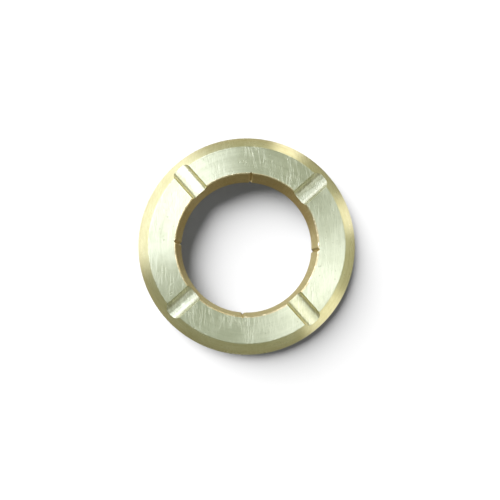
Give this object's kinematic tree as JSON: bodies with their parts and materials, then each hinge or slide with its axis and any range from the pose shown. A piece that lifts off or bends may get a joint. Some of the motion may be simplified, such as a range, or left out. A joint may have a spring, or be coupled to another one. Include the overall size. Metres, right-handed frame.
{
  "type": "grooved thrust washer",
  "caption": "Thick brass thrust washer with a plain bore, a bevelled outer edge, radial oil grooves milled across one face and small nicks down the bore.",
  "frame": {"origin": "centre of the plain back face, on the bore's axis", "axes": "+Z along the bore axis from the back face to the grooved face, +X along the deeper groove pass, +Y along the shallower groove pass"},
  "size_m": [0.04, 0.04, 0.005],
  "materials": {
    "machined_brass": "turned on the faces and rim, milled in the grooves"
  },
  "bodies": {
    "root": {"thrust_washer": "machined_brass"}
  },
  "joints": []
}
